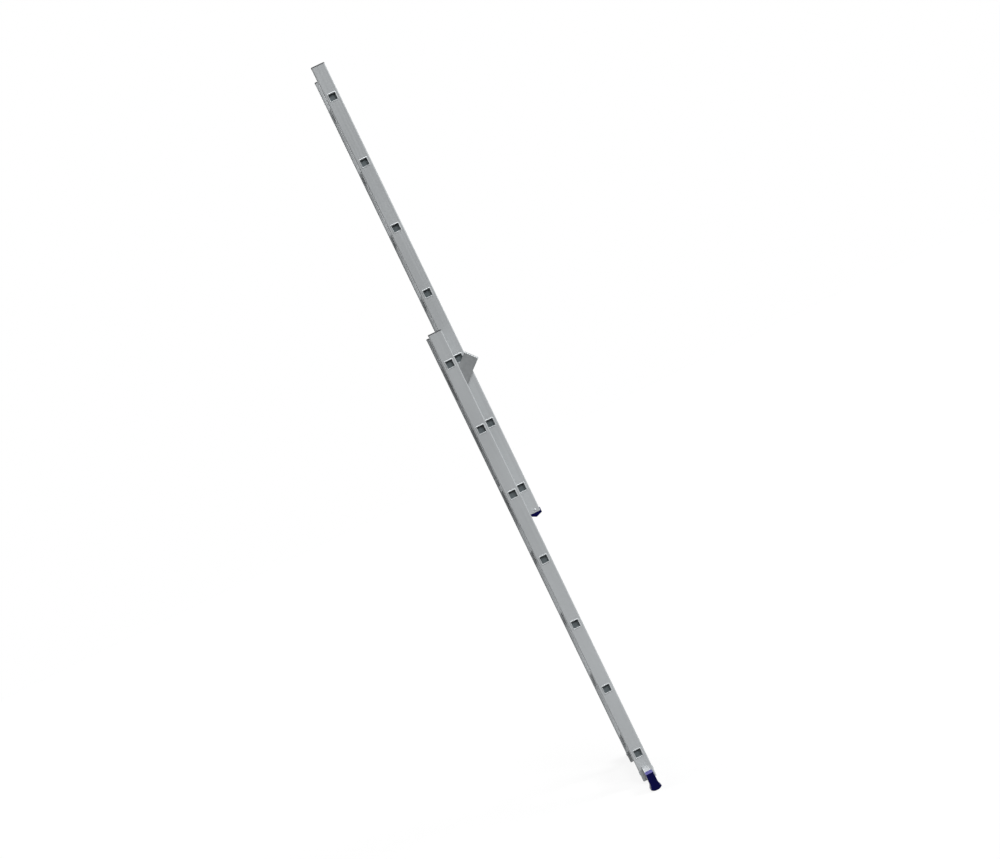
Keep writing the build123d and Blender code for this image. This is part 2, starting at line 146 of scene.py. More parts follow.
# Sheet, cast and sawn pieces with broken edges
EDGE_BREAK = {"guide_bracket": 0.6, "rung_lock": 0.9, "crossbar": 0.6}
SHARP_ANGLE = radians(40)
FLAT_ANGLE = radians(1)
HOLE_FACET = 10.0
EDGE_STEPS = 2
EDGE_PROFILE = 0.5
CAD_WELD = 0.001
BEVEL_WELD = 0.01

# Fasteners, turned about their axis: radius, height over the seat, and the count of flat sides if any
RIVET_HEAD = ((1.1, 0.9), (1.2, 1.5), (2.4, 1.45), (3.6, 1.05), (4.5, 0.5), (4.8, 0.0))
BRACKET_RIVET_SHANK = ((2.4, 0.0), (2.4, -4.8), (3.6, -4.9), (3.5, -7.0), (1.5, -7.8))
FOOT_RIVET_SHANK = ((2.4, 0.0), (2.4, -4.2), (3.4, -4.4), (1.5, -6.5))
FOOT_RIVET_SETBACK = 37.0
FOOT_RIVET_HEIGHT = 10.0
BRACKET_THICKNESS = 3.0
PIN_HEAD = ((1.0, 2.2), (1.4, 2.9), (3.5, 3.0), (6.0, 2.5), (7.5, 1.6), (8.0, 0.6), (8.0, 0.0))
PIN_RADIUS = 4.0
PIN_TAIL = 2.5
PIN_RIVETED_END = ((6.0, PIN_TAIL), (5.4, 1.0), (3.0, 0.0))
PIN_GAP = 0.3
BOLT_RECESS = ((2.2, 1.0, HEX), (2.5, 2.0, HEX))
BOLT_HEAD = ((3.6, 2.2), (5.6, 1.9), (7.2, 1.2), (8.0, 0.3), (8.0, 0.0))
BOLT_RADIUS = 4.0
BOLT_POINT = 0.6
NUT = ((4.1, 2.0), (4.5, 2.2), (5.9, 2.2), (6.5, 1.9, HEX), (6.5, 0.0, HEX), (4.1, 0.0))

# Textures: cells in a metre along each axis, the used range of a noise, and the relief in metres
CLOUDS = (5, 5, 2.5)
STREAKS_ALONG_X = (2.5, 420, 420)
STREAKS_ALONG_Z = (420, 420, 2.5)
CAST_GRAIN = (150, 150, 150)
ROLLED_GRAIN = (60, 60, 60)
TURNED_GRAIN = (90, 90, 90)
MOULDED_GRAIN = (900, 900, 900)
SCUFFS = (30, 45, 30)
NOISE_LOW = 0.3
NOISE_HIGH = 0.7
BUMP_HEIGHT = 0.0002

# Metal
COOL = (0.958, 1.0, 1.024)
METAL_TONE_SPREAD = 0.08
METAL_ROUGHNESS_SPREAD = 0.06
METAL_GLOSS = 0.25
STREAK_SHARE = 0.35
STREAK_BUMP = 0.15

# Plastic
NAVY = (0.0018, 0.002, 0.040)
# Lighter navy painted on the feet where they face up: painted light standing in for the light on their tops
NAVY_PAINTED_TOP_LIGHT = (0.075, 0.070, 0.23)
DARK_GREY = (0.05, 0.052, 0.055)
MID_GREY = (0.080, 0.094, 0.100)
DUST_TINT = (0.62, 0.58, 1.0, 1)
DUST_ROUGHNESS = 0.3
PLASTIC_TONE_SPREAD = 0.15
PLASTIC_ROUGHNESS_SPREAD = 0.07
GRAIN_BUMP = 0.2
# Heights of the normal over which the painted top light fades in
PAINTED_TOP_LIGHT_START = 0.5
PAINTED_TOP_LIGHT_END = 0.95

# Floor, sky and panels: places in millimetres, greys, and strengths of the light they give
FLOOR_SIZE = 60000.0
FLOOR_COLOUR = 0.10
FLOOR_GLOW = 0.86
SKY_FRONT = 0.42
SKY_BACK = 0.06
PANEL_COLOUR = 0.10
PANEL_HEIGHT = 9000.0
PANEL_LINE = ((-10000.0, -4000.0), (-10000.0, 10000.0), (4000.0, 10000.0))

# Sun lamps: direction they shine from, strength, spread in degrees
LAMPS = {
    "overhead_key": ((-0.52, -0.12, 0.76), 2.1, 20),
    "front_key": ((-0.50, -0.62, 0.55), 2.5, 20),
    "back_fill": ((0.70, 0.52, 0.48), 2.0, 40),
}

# Camera as it stood for the photograph: places in metres, lens and sensor in millimetres
CAMERA_PLACE = Vector((-7.1319, 0.2694, 1.7097))
CAMERA_TARGET = Vector((-0.2069, -0.0646, 1.4923))
CAMERA_ROLL = radians(25.795)
CAMERA_LENS = 64.56
CAMERA_SENSOR = 36.0


# Materials
def shader_of(name):
    """A new node material, its tree and its shader."""
    material = bpy.data.materials.new(name)
    material.use_nodes = True
    return material, material.node_tree, material.node_tree.nodes["Principled BSDF"]


def add_noise(tree, stretch, detail):
    """Noise in the object's own space, stretch cells in a metre along each axis."""
    place = tree.nodes.new("ShaderNodeTexCoord")
    mapping = tree.nodes.new("ShaderNodeMapping")
    mapping.inputs["Scale"].default_value = stretch
    noise = tree.nodes.new("ShaderNodeTexNoise")
    noise.inputs["Scale"].default_value = 1.0
    noise.inputs["Detail"].default_value = detail
    tree.links.new(place.outputs["Object"], mapping.inputs["Vector"])
    tree.links.new(mapping.outputs["Vector"], noise.inputs["Vector"])
    return noise.outputs["Fac"]


def add_range(tree, value, low, high):
    """Spreads the middle of a noise over a range of numbers."""
    spread = tree.nodes.new("ShaderNodeMapRange")
    spread.inputs["From Min"].default_value = NOISE_LOW
    spread.inputs["From Max"].default_value = NOISE_HIGH
    spread.inputs["To Min"].default_value = low
    spread.inputs["To Max"].default_value = high
    tree.links.new(value, spread.inputs["Value"])
    return spread.outputs["Result"]


def add_tones(tree, value, colour, tone_spread):
    """A colour that a noise makes darker and lighter."""
    mix = tree.nodes.new("ShaderNodeMix")
    mix.data_type = "RGBA"
    mix.inputs["A"].default_value = (*[share * (1 - tone_spread) for share in colour], 1)
    mix.inputs["B"].default_value = (*[share * (1 + tone_spread) for share in colour], 1)
    tree.links.new(add_range(tree, value, 0, 1), mix.inputs["Factor"])
    return mix.outputs["Result"]


def add_blend(tree, first, second, share):
    """Blends two noises, share of the second."""
    mix = tree.nodes.new("ShaderNodeMix")
    mix.inputs["Factor"].default_value = share
    tree.links.new(first, mix.inputs["A"])
    tree.links.new(second, mix.inputs["B"])
    return mix.outputs["Result"]


def add_bump(tree, shader, height, strength):
    """Fine relief from a noise."""
    bump = tree.nodes.new("ShaderNodeBump")
    bump.inputs["Strength"].default_value = strength
    bump.inputs["Distance"].default_value = BUMP_HEIGHT
    tree.links.new(height, bump.inputs["Height"])
    tree.links.new(bump.outputs["Normal"], shader.inputs["Normal"])


def add_painted_top_light(tree, tone, painted_top_light):
    """Fades a colour to a lighter one where the surface faces up: painted light on the upward faces."""
    geometry = tree.nodes.new("ShaderNodeNewGeometry")
    axes = tree.nodes.new("ShaderNodeSeparateXYZ")
    tree.links.new(geometry.outputs["Normal"], axes.inputs["Vector"])
    rise = tree.nodes.new("ShaderNodeMapRange")
    rise.inputs["From Min"].default_value = PAINTED_TOP_LIGHT_START
    rise.inputs["From Max"].default_value = PAINTED_TOP_LIGHT_END
    tree.links.new(axes.outputs["Z"], rise.inputs["Value"])
    mix = tree.nodes.new("ShaderNodeMix")
    mix.data_type = "RGBA"
    mix.inputs["B"].default_value = (*painted_top_light, 1)
    tree.links.new(tone, mix.inputs["A"])
    tree.links.new(rise.outputs["Result"], mix.inputs["Factor"])
    return mix.outputs["Result"]


def metal(name, stretch, level, metallic, roughness):
    """Satin metal: streaks along an extrusion, or an even grain, over soft clouds of oxide."""
    material, tree, shader = shader_of(name)
    streaks = add_noise(tree, stretch, detail=4)
    clouds = add_noise(tree, CLOUDS, detail=3)
    grey = tuple(level * share for share in COOL)
    tone = add_tones(tree, add_blend(tree, clouds, streaks, STREAK_SHARE), grey, METAL_TONE_SPREAD)
    rough_low = roughness - METAL_ROUGHNESS_SPREAD
    rough_high = roughness + METAL_ROUGHNESS_SPREAD
    tree.links.new(tone, shader.inputs["Base Color"])
    tree.links.new(add_range(tree, streaks, rough_low, rough_high), shader.inputs["Roughness"])
    add_bump(tree, shader, streaks, STREAK_BUMP)
    shader.inputs["Metallic"].default_value = metallic
    shader.inputs["Specular IOR Level"].default_value = METAL_GLOSS
    return material


def plastic(name, colour, roughness, gloss, dust, painted_top_light=None):
    """Moulded plastic: a fine grain, faint scuffs, a dusty sheen, and a lighter colour painted where it faces
    up, as painted top light.
    """
    material, tree, shader = shader_of(name)
    grain = add_noise(tree, MOULDED_GRAIN, detail=2)
    scuffs = add_noise(tree, SCUFFS, detail=5)
    tone = add_tones(tree, scuffs, colour, PLASTIC_TONE_SPREAD)
    if painted_top_light:
        tone = add_painted_top_light(tree, tone, painted_top_light)
    rough_low = roughness - PLASTIC_ROUGHNESS_SPREAD
    rough_high = roughness + PLASTIC_ROUGHNESS_SPREAD
    tree.links.new(tone, shader.inputs["Base Color"])
    tree.links.new(add_range(tree, scuffs, rough_low, rough_high), shader.inputs["Roughness"])
    add_bump(tree, shader, grain, GRAIN_BUMP)
    shader.inputs["Specular IOR Level"].default_value = gloss
    shader.inputs["Sheen Weight"].default_value = dust
    shader.inputs["Sheen Roughness"].default_value = DUST_ROUGHNESS
    shader.inputs["Sheen Tint"].default_value = DUST_TINT
    return material


finishes = {
    "profile_aluminium": metal("satin_profile", STREAKS_ALONG_Z, level=0.435, metallic=0.30, roughness=0.40),
    "rung_aluminium": metal("satin_rung", STREAKS_ALONG_X, level=0.45, metallic=0.30, roughness=0.44),
    "crossbar_aluminium": metal("satin_crossbar", STREAKS_ALONG_X, level=0.52, metallic=0.30, roughness=0.40),
    "lock_aluminium": metal("cast_lock", CAST_GRAIN, level=0.44, metallic=0.35, roughness=0.5),
    "bracket_steel": metal("plated_bracket", ROLLED_GRAIN, level=0.25, metallic=0.4, roughness=0.42),
    "fastener_steel": metal("plated_fastener", TURNED_GRAIN, level=0.45, metallic=0.5, roughness=0.38),
    # The feet's upward faces get a lighter navy painted on, as painted top light
    "foot_plastic": plastic("navy_foot", NAVY, roughness=0.40, gloss=0.06, dust=0.10, painted_top_light=NAVY_PAINTED_TOP_LIGHT),
    "plug_plastic": plastic("grey_plug", DARK_GREY, roughness=0.5, gloss=0.3, dust=0.0),
    "rung_plug_plastic": plastic("grey_rung_plug", MID_GREY, roughness=0.5, gloss=0.3, dust=0.0),
}

# Every CAD node takes the finish of its material slot in the record
for subpart in frame["record"]["subparts"]:
    cad_mesh = nodes[subpart["node"]].data
    cad_mesh.materials.clear()
    cad_mesh.materials.append(finishes[subpart["material_slot"]])


# Meshes
def link_mesh(name, bm, smooth_angle=SMOOTH_ANGLE):
    """Turns a bmesh in millimetres into an object in metres, smooth except at sharp edges."""
    bmesh.ops.recalc_face_normals(bm, faces=bm.faces)
    for face in bm.faces:
        face.smooth = True
    for edge in bm.edges:
        edge.smooth = len(edge.link_faces) == 2 and edge.calc_face_angle() < radians(smooth_angle)
    bmesh.ops.scale(bm, vec=(MM, MM, MM), verts=bm.verts)
    mesh = bpy.data.meshes.new(name)
    bm.to_mesh(mesh)
    bm.free()
    piece = bpy.data.objects.new(name, mesh)
    scene.collection.objects.link(piece)
    weighted = piece.modifiers.new("flat_faces_stay_flat", "WEIGHTED_NORMAL")
    weighted.keep_sharp = True
    return piece


def finish_piece(name, bm, body, slot, replaced=None, smooth_angle=SMOOTH_ANGLE):
    """Links a piece, parents it to the body that carries it, gives it its finish, and hides the CAD node it
    takes the place of, if any.
    """
    piece = link_mesh(name, bm, smooth_angle)
    piece.data.materials.append(finishes[slot])
    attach(piece, body)
    if replaced:
        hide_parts(replaced)


def node_box(node):
    """The lowest and highest corner of a CAD node, in millimetres."""
    low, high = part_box(node)
    return low / MM, high / MM


def bridge_rings(bm, rings, closed=False):
    """Quads between rings of equally many vertices, in order."""
    pairs = list(zip(rings, rings[1:]))
    if closed:
        pairs.append((rings[-1], rings[0]))
    for ring, other in pairs:
        for step in range(len(ring)):
            after = (step + 1) % len(ring)
            bm.faces.new((ring[step], ring[after], other[after], other[step]))


def bridge_solid(bm, rings):
    """Quads between rings, and a face over the first and the last of them."""
    bridge_rings(bm, rings)
    bm.faces.new(rings[0])
    bm.faces.new(rings[-1])


def rounded_rectangle(half_a, half_b, radius):
    """Points of a rounded rectangle round the origin, with the same count for any size."""
    points = []
    for quarter, (side_a, side_b) in enumerate(((1, 1), (-1, 1), (-1, -1), (1, -1))):
        for step in range(CORNER_STEPS):
            angle = pi / 2 * (quarter + step / (CORNER_STEPS - 1))
            a = side_a * (half_a - radius) + radius * cos(angle)
            b = side_b * (half_b - radius) + radius * sin(angle)
            points.append((a, b))
    return points


def quarter_round(radius):
    """Setback and inset of each section of a rounded end, from its face to its full size."""
    angles = [pi / 2 * step / (CORNER_STEPS - 1) for step in range(CORNER_STEPS)]
    return [(radius * (1 - cos(angle)), radius * (1 - sin(angle))) for angle in angles]


def inset_outline(outline, distance):
    """Moves the points of a counterclockwise outline inwards by a distance, less at sharp corners."""
    count = len(outline)
    moved = []
    for index, point in enumerate(outline):
        before = Vector(outline[index - 1])
        here = Vector(point)
        after = Vector(outline[(index + 1) % count])
        first = (here - before).normalized()
        second = (after - here).normalized()
        normals = [Vector((-edge.y, edge.x)) for edge in (first, second)]
        share = max(SHARPEST_TURN, 1 + normals[0].dot(normals[1]))
        moved.append(tuple(here + (normals[0] + normals[1]) / share * distance))
    return moved


def arc_points(centre, radius, start, end, steps):
    """Points on an arc, angles in degrees, both ends included."""
    points = []
    for step in range(steps + 1):
        angle = radians(start + (end - start) * step / steps)
        points.append((centre[0] + radius * cos(angle), centre[1] + radius * sin(angle)))
    return points


def arc_through(start, middle, end, steps):
    """Points on the arc through three points, both ends included."""
    a, b, c = (Vector(point) for point in (start, middle, end))
    first, second = b - a, c - a
    cross = 2 * (first.x * second.y - first.y * second.x)
    offset_x = (second.y * first.length_squared - first.y * second.length_squared) / cross
    offset_y = (first.x * second.length_squared - second.x * first.length_squared) / cross
    centre = a + Vector((offset_x, offset_y))
    turn = (a - centre).angle_signed(c - centre)
    points = []
    for step in range(steps + 1):
        arm = (a - centre).to_3d()
        arm.rotate(Matrix.Rotation(-turn * step / steps, 3, "Z"))
        points.append(tuple(centre + arm.to_2d()))
    return points


def cut_treads(line, count, depth):
    """Cuts grooves into a line of points, on its left side, in place of the points that they cover."""
    line = [Vector(point) for point in line]
    lengths = [0.0]
    for here, after in zip(line, line[1:]):
        lengths.append(lengths[-1] + (after - here).length)
    pitch = (lengths[-1] - 2 * TREAD_MARGIN) / count
    middles = [TREAD_MARGIN + (index + 0.5) * pitch for index in range(count)]
    marks = []
    for middle in middles:
        marks += [(middle + offset * TREAD_WIDTH, lift) for offset, lift in TREAD_GROOVE]
    for length in lengths:
        if all(abs(length - middle) > TREAD_WIDTH * TREAD_CLEAR for middle in middles):
            marks.append((length, 0))
    points = []
    for length, lift in sorted(marks):
        index = max(step for step in range(len(line) - 1) if lengths[step] <= length)
        along = (line[index + 1] - line[index]).normalized()
        inward = Vector((-along.y, along.x)) * depth * lift
        points.append(tuple(line[index] + along * (length - lengths[index]) + inward))
    return points


def add_turned(bm, profile, place, axis):
    """A closed solid round an axis, each row of its profile round or with flat sides."""
    turn = Vector(axis).to_track_quat("Z", "Y").to_matrix()
    rings = []
    for radius, height, *sides in profile:
        ring = []
        for step in range(ROUND_STEPS):
            angle = tau * step / ROUND_STEPS
            reach = radius
            if sides:
                side_angle = tau / sides[0]
                reach = radius / cos(angle % side_angle - side_angle / 2)
            local = Vector((reach * cos(angle), reach * sin(angle), height))
            ring.append(bm.verts.new(Vector(place) + turn @ local))
        rings.append(ring)
    bridge_solid(bm, rings)


# Rungs: ribbed tubes with a bead on the inner side of each stile and a rolled rim on its outer side
def rung_ring(bm, x, half, radius, groove, middle):
    """One section of a rung: a rounded square whose upper side has three grooves."""
    points = rounded_rectangle(half, half, radius)
    edge, floor_edge = GROOVE_WIDTH / 2, GROOVE_WIDTH / 4
    depth = GROOVE_DEPTH * groove
    tread = []
    for centre in (GROOVE_SPACING, 0, -GROOVE_SPACING):
        for offset, drop in ((edge, 0), (floor_edge, depth), (-floor_edge, depth), (-edge, 0)):
            tread.append((centre + offset, half - drop))
    points[CORNER_STEPS:CORNER_STEPS] = tread
    return [bm.verts.new((x, middle.y + y, middle.z + z)) for y, z in points]


def rung_stations(inner_web, outer_web):
    """Sections of a rung's right half: a bead at the inner web, a rim at the outer web, and the bore."""
    bead = inner_web - BEAD_LENGTH
    stations = [(bead - GROOVE_FADE, RUNG_HALF, RUNG_ROUND, 1), (bead - GROOVE_END, RUNG_HALF, RUNG_ROUND, 0)]
    for step in range(BEAD_STEPS + 1):
        angle = pi * step / BEAD_STEPS
        place = bead + BEAD_LENGTH / 2 * (1 - cos(angle))
        bulge = sin(angle)
        stations.append((place, RUNG_HALF + BEAD_RISE * bulge, RUNG_ROUND + BEAD_ROUND * bulge, 0))
    stations.append((outer_web, RUNG_HALF, RUNG_ROUND, 0))
    for height, half, radius in ROLLED_RIM:
        stations.append((outer_web + height, half, radius, 0))
    return stations


def make_rung(section, number):
    """A swaged rung in place of a CAD rung."""
    node = f"{section}_rung_{number}"
    low, high = node_box(node)
    stile_low, stile_high = node_box(f"{section}_stile_right")
    right = rung_stations(stile_low.x, stile_high.x)
    left = [(-x, half, radius, groove) for x, half, radius, groove in reversed(right)]
    bm = bmesh.new()
    rings = [rung_ring(bm, *station, (low + high) / 2) for station in left + right]
    bridge_rings(bm, rings, closed=True)
    finish_piece(f"{node}_swaged", bm, section, "rung_aluminium", node)


def make_rung_plugs(section):
    """Dished plugs in both ends of every rung of a section."""
    node = f"{section}_rung_plugs"
    low, high = node_box(node)
    half = (high.y - low.y) / 2
    middle_y = (high.y + low.y) / 2
    pitch = (high.z - low.z - 2 * half) / (RUNG_COUNT - 1)
    bm = bmesh.new()
    for step in range(RUNG_COUNT):
        middle_z = low.z + half + step * pitch
        for side in SIDES.values():
            rings = []
            for setback, inset, corner in RUNG_PLUG:
                x = side * (high.x - setback)
                points = rounded_rectangle(half - inset, half - inset, corner)
                rings.append([bm.verts.new((x, middle_y + y, middle_z + z)) for y, z in points])
            bridge_solid(bm, rings)
    finish_piece(f"{node}_dished", bm, section, "rung_plug_plastic", node)


# Plugs in the tops of the stiles
def make_top_plug(section, side_name):
    """A rounded cap over a hollow skirt."""
    node = f"{section}_top_plug_{side_name}"
    low, high = node_box(node)
    _, stile_high = node_box(f"{section}_stile_{side_name}")
    middle = (low + high) / 2
    half_x = (high.x - low.x) / 2
    half_y = (high.y - low.y) / 2
    seat = stile_high.z
    sections = [(high.z - drop, inset, CAP_CORNER - inset) for drop, inset in quarter_round(CAP_ROUND)]
    sections.append((seat, 0, CAP_CORNER))
    sections.append((seat, CAP_LIP, SKIRT_CORNER))
    sections.append((low.z, CAP_LIP, SKIRT_CORNER))
    sections.append((low.z, CAP_LIP + SKIRT_WALL, SKIRT_BORE_CORNER))
    sections.append((seat, CAP_LIP + SKIRT_WALL, SKIRT_BORE_CORNER))
    bm = bmesh.new()
    rings = []
    for z, inset, corner in sections:
        points = rounded_rectangle(half_x - inset, half_y - inset, corner)
        rings.append([bm.verts.new((middle.x + x, middle.y + y, z)) for x, y in points])
    bridge_solid(bm, rings)
    finish_piece(f"{node}_rounded", bm, section, "plug_plastic", node)


# Crossbar feet: waisted caps with a treaded sole and a socket for the bar
def foot_outline(sole_half, top, tread_depth):
    """The foot seen along the bar, counterclockwise: (y, z) points."""
    drop = FOOT_WAIST_HEIGHT - FOOT_SOLE_HEIGHT
    flare = sole_half - FOOT_WAIST_HALF
    radius = (flare ** 2 + drop ** 2) / (2 * flare)
    corner = (sole_half, FOOT_SOLE_HEIGHT)
    sole = arc_through((FOOT_FLAT_HALF, 0), FOOT_SOLE_BULGE, corner, ARC_STEPS)
    sole = [(-y, z) for y, z in reversed(sole)] + sole
    flare_centre = (FOOT_WAIST_HALF + radius, FOOT_WAIST_HEIGHT)
    flare_angle = degrees(asin(drop / radius))
    right = arc_points(flare_centre, radius, 180 + flare_angle, 180, ARC_STEPS)[1:]
    round_centre = (FOOT_TOP_HALF - FOOT_TOP_ROUND, top - FOOT_TOP_ROUND)
    right += arc_points(round_centre, FOOT_TOP_ROUND, 0, 90, CORNER_STEPS - 1)
    left = [(-y, z) for y, z in reversed(right)]
    return cut_treads(sole, FOOT_TREADS, tread_depth) + right + left


def socket_outline(outline, bar_low, bar_high):
    """The bar's socket in a foot: each point of the foot's outline drawn in to the bar and its fit."""
    middle_z = (bar_low.z + bar_high.z) / 2
    half_y = (bar_high.y - bar_low.y) / 2 + SOCKET_FIT
    half_z = (bar_high.z - bar_low.z) / 2 + SOCKET_FIT
    points = []
    for y, z in outline:
        reach = max(abs(y) / half_y, abs(z - middle_z) / half_z)
        points.append((y / reach, middle_z + (z - middle_z) / reach))
    return points


def make_crossbar_foot(side_name):
    """A waisted foot with closed tread grooves, hollow towards the bar."""
    node = f"crossbar_foot_{side_name}"
    side = SIDES[side_name]
    low, high = node_box(node)
    inner_x = min(abs(low.x), abs(high.x))
    outer_x = max(abs(low.x), abs(high.x))
    bar_low, bar_high = node_box("crossbar")
    outline = foot_outline(high.y, high.z, 0)
    treaded = foot_outline(high.y, high.z, TREAD_DEPTH)
    socket = socket_outline(outline, bar_low, bar_high)
    stations = []
    for setback, inset in quarter_round(FOOT_END_ROUND):
        stations.append((outer_x - setback, inset_outline(outline, inset)))
    stations.append((outer_x - TREAD_END, outline))
    stations.append((outer_x - TREAD_END - TREAD_DEPTH, treaded))
    stations.append((inner_x + TREAD_END + TREAD_DEPTH, treaded))
    stations.append((inner_x + TREAD_END, outline))
    stations.append((inner_x + FOOT_RIM_ROUND, outline))
    stations.append((inner_x, inset_outline(outline, FOOT_RIM_ROUND)))
    stations.append((inner_x, socket))
    stations.append((bar_high.x + SOCKET_FIT, socket))
    bm = bmesh.new()
    rings = []
    for x, points in stations:
        rings.append([bm.verts.new((side * x, y, z)) for y, z in points])
    bridge_solid(bm, rings)
    finish_piece(f"{node}_moulded", bm, "base", "foot_plastic", node)


# Feet of the fly: plugs with a treaded slanted sole and a tab up the front
def fly_foot_outline(back_y, front_y, seat, tread_depth):
    """The foot below the stile seen from the right, counterclockwise from its front: (y, z) points."""
    low = Vector((back_y - FLY_FOOT_LOW_SETBACK, seat - FLY_FOOT_LOW))
    front = Vector((front_y, seat - FLY_FOOT_FRONT))
    back = Vector((back_y, seat - FLY_FOOT_BACK))
    to_front = (front - low).normalized()
    to_back = (back - low).normalized()
    reach = FLY_FOOT_ROUND / tan(to_front.angle(to_back) / 2)
    start, end = low + to_front * reach, low + to_back * reach
    points = [(front_y, seat), tuple(front)]
    for step in range(CORNER_STEPS + 1):
        share = step / CORNER_STEPS
        point = start * (1 - share) ** 2 + low * 2 * share * (1 - share) + end * share ** 2
        points.append(tuple(point))
    points += cut_treads([end, back], FLY_FOOT_TREADS, tread_depth)[1:]
    points.append((back_y, seat))
    return points


def add_fly_sole(bm, middle_x, half, outline, treaded):
    """The part of a fly foot below its stile, with rounded ends and closed tread grooves."""
    stations = []
    for setback, inset in quarter_round(FLY_FOOT_END_ROUND):
        stations.append((half - setback, inset_outline(outline, inset)))
    stations.append((half - TREAD_END, outline))
    stations.append((half - TREAD_END - TREAD_DEPTH, treaded))
    stations += [(-x, points) for x, points in reversed(stations)]
    seat = outline[0][1]
    rings = []
    for x, points in stations:
        rings.append([bm.verts.new((middle_x + x, y, min(z, seat))) for y, z in points])
    bridge_solid(bm, rings)


def add_fly_tab(bm, middle_x, stile_y, front_y, seat):
    """The tab of a fly foot, up the front of its stile."""
    half_z = (TAB_HEIGHT + TAB_FOOTING) / 2
    middle_z = seat + (TAB_HEIGHT - TAB_FOOTING) / 2
    rings = []
    for y, inset in ((stile_y, 0), (front_y + TAB_EDGE, 0), (front_y, TAB_EDGE)):
        points = rounded_rectangle(TAB_HALF - inset, half_z - inset, TAB_CORNER)
        rings.append([bm.verts.new((middle_x + x, y, middle_z + z)) for x, z in points])
    bridge_solid(bm, rings)


def add_fly_skirt(bm, stile_low, stile_high, top):
    """The hollow skirt of a fly foot, inside its stile."""
    middle = (stile_low + stile_high) / 2
    half_x = (stile_high.x - stile_low.x) / 2 - CAP_LIP
    half_y = (stile_high.y - stile_low.y) / 2 - CAP_LIP
    seat = stile_low.z
    rings = []
    for z, inset in ((seat, 0), (top, 0), (top, SKIRT_WALL), (seat, SKIRT_WALL)):
        points = rounded_rectangle(half_x - inset, half_y - inset, SKIRT_BORE_CORNER)
        rings.append([bm.verts.new((middle.x + x, middle.y + y, z)) for x, y in points])
    bridge_rings(bm, rings, closed=True)


def make_fly_foot(side_name):
    """A foot plug: sole, tab and skirt."""
    node = f"fly_foot_{side_name}"
    low, high = node_box(node)
    stile_low, stile_high = node_box(f"fly_stile_{side_name}")
    seat = stile_low.z
    middle_x = (low.x + high.x) / 2
    half = (high.x - low.x) / 2
    outline = fly_foot_outline(stile_high.y, low.y, seat, 0)
    treaded = fly_foot_outline(stile_high.y, low.y, seat, TREAD_DEPTH)
    bm = bmesh.new()
    add_fly_sole(bm, middle_x, half, outline, treaded)
    add_fly_tab(bm, middle_x, stile_low.y, low.y, seat)
    add_fly_skirt(bm, stile_low, stile_high, high.z)
    finish_piece(f"{node}_moulded", bm, "fly", "foot_plastic", node)


# Sheet, cast and sawn pieces: the CAD shape with its sharp edges broken
def in_small_hole(edge):
    """Whether an edge is on the rim of a drilled hole, which a fastener covers."""
    for face in edge.link_faces:
        hollow = any(not side.is_convex and side.calc_face_angle(0) > FLAT_ANGLE for side in face.edges)
        if hollow and face.calc_area() < HOLE_FACET:
            return True
    return False


def make_broken_edges(node, body, slot, width):
    """A copy of a CAD piece with its sharp edges rounded off."""
    bm = bmesh.new()
    bm.from_mesh(nodes[node].data)
    bmesh.ops.scale(bm, vec=(1 / MM, 1 / MM, 1 / MM), verts=bm.verts)
    bmesh.ops.remove_doubles(bm, verts=bm.verts, dist=CAD_WELD)
    bmesh.ops.dissolve_limit(bm, angle_limit=FLAT_ANGLE, verts=bm.verts, edges=bm.edges)
    sharp = [edge for edge in bm.edges if edge.calc_face_angle(0) > SHARP_ANGLE and not in_small_hole(edge)]
    bmesh.ops.bevel(
        bm, geom=sharp, offset=width, segments=EDGE_STEPS, profile=EDGE_PROFILE, affect="EDGES"
    )
    bmesh.ops.remove_doubles(bm, verts=bm.verts, dist=BEVEL_WELD)
    bmesh.ops.dissolve_degenerate(bm, edges=bm.edges, dist=BEVEL_WELD)
    finish_piece(f"{node}_broken_edges", bm, body, slot, node)


# Fasteners, each kind one piece with a copy on both sides
def finish_fasteners(name, bm, body, replaced=None):
    """Links a group of turned steel fasteners."""
    finish_piece(name, bm, body, "fastener_steel", replaced, TURNED_SMOOTH_ANGLE)


def make_bracket_rivets():
    """Blind rivets that hold the legs of the guide brackets, two on each side."""
    node = "guide_bracket_rivets"
    low, high = node_box(node)
    stile_low, _ = node_box("base_stile_right")
    head_x = stile_low.x - BRACKET_THICKNESS
    middle_y = (low.y + high.y) / 2
    head = (high.y - low.y) / 2
    bm = bmesh.new()
    for side in SIDES.values():
        for z in (low.z + head, high.z - head):
            add_turned(bm, RIVET_HEAD + BRACKET_RIVET_SHANK, (side * head_x, middle_y, z), (-side, 0, 0))
    finish_fasteners(f"{node}_domed", bm, "base", node)


def make_fly_foot_rivets():
    """One rivet through the outer web of each fly stile into its foot."""
    stile_low, stile_high = node_box("fly_stile_right")
    place_y = stile_high.y - FOOT_RIVET_SETBACK
    place_z = stile_low.z + FOOT_RIVET_HEIGHT
    bm = bmesh.new()
    for side in SIDES.values():
        place = (side * stile_high.x, place_y, place_z)
        add_turned(bm, RIVET_HEAD + FOOT_RIVET_SHANK, place, (side, 0, 0))
    finish_fasteners("fly_foot_rivets", bm, "fly")


def make_lock_pins():
    """Pivots of the rung locks: a domed head inside, a riveted end in the stile."""
    node = "rung_lock_pins"
    low, high = node_box(node)
    lock_low, _ = node_box("rung_lock_right")
    middle = (low + high) / 2
    head_x = lock_low.x - PIN_GAP
    tail = head_x - high.x
    shank = ((PIN_RADIUS, 0.0), (PIN_RADIUS, tail + PIN_TAIL))
    riveted_end = tuple((radius, tail + height) for radius, height in PIN_RIVETED_END)
    bm = bmesh.new()
    for side in SIDES.values():
        place = (side * head_x, middle.y, middle.z)
        add_turned(bm, PIN_HEAD + shank + riveted_end, place, (-side, 0, 0))
    finish_fasteners(f"{node}_domed", bm, "fly", node)


